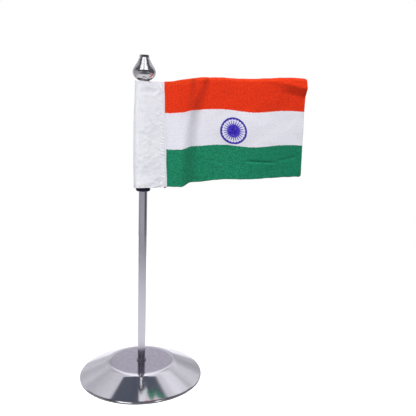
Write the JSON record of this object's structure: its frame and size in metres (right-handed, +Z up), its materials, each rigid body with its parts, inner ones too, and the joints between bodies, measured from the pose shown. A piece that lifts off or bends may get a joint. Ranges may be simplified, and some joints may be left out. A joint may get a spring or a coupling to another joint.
{
  "type": "desk flag stand",
  "caption": "Small cotton flag on a loose white sleeve, on a slim steel pole with a pear-shaped finial and a round, weighted, polished steel base.",
  "frame": {"origin": "centre of the base's underside, on the pole's axis", "axes": "+Z up along the pole, +X along the flag from hoist to fly, +Y behind the flag"},
  "size_m": [0.2221, 0.12, 0.3086],
  "materials": {
    "polished_steel": "mirror polished with faint brushing",
    "pole_steel": "bright drawn tube",
    "finial_steel": "mirror polished",
    "dark_steel": "dark satin",
    "zinc_steel": "zinc plated",
    "cast_iron": "as cast",
    "black_rubber": "matt moulded",
    "white_cotton": "plain weave, matt",
    "flag_cotton": "printed brushed cotton, orange, white and green stripes with a blue wheel",
    "sewing_thread": "spun thread"
  },
  "bodies": {
    "stand": {"base_cover": "polished_steel", "base_weight": "cast_iron", "base_pad": "black_rubber", "base_screw": "zinc_steel", "plain_washer": "zinc_steel", "lock_washer": "zinc_steel", "foot_collar": "dark_steel", "pole_tube": "pole_steel", "pole_foot_plug": "zinc_steel", "pole_top_plug": "zinc_steel"},
    "stopper": {"flag_stopper": "black_rubber"},
    "flag": {"flag_sleeve": "white_cotton", "flag_panel": "flag_cotton", "sleeve_stitching": "sewing_thread"},
    "neck": {"finial_neck": "dark_steel"},
    "finial": {"finial_body": "finial_steel", "finial_stud": "zinc_steel"}
  },
  "joints": [
    {"name": "stopper_slide", "type": "slide", "parent": "stand", "child": "stopper", "axis": [0, 0, 1], "range_m": [-0.165, 0]},
    {"name": "flag_swing", "type": "hinge", "parent": "stopper", "child": "flag", "pos_m": [0, 0, 0.235], "axis": [0, 0, 1], "continuous": true},
    {"name": "finial_lift", "type": "slide", "parent": "stand", "child": "neck", "axis": [0, 0, 1], "range_m": [0, 0.0049]},
    {"name": "finial_turn", "type": "hinge", "parent": "neck", "child": "finial", "pos_m": [0, 0, 0.285], "axis": [0, 0, 1], "range_deg": [0, 2520]}
  ],
  "couplings": [
    {"joint": "finial_turn", "follows": "finial_lift", "rad_per_m": 8975}
  ]
}
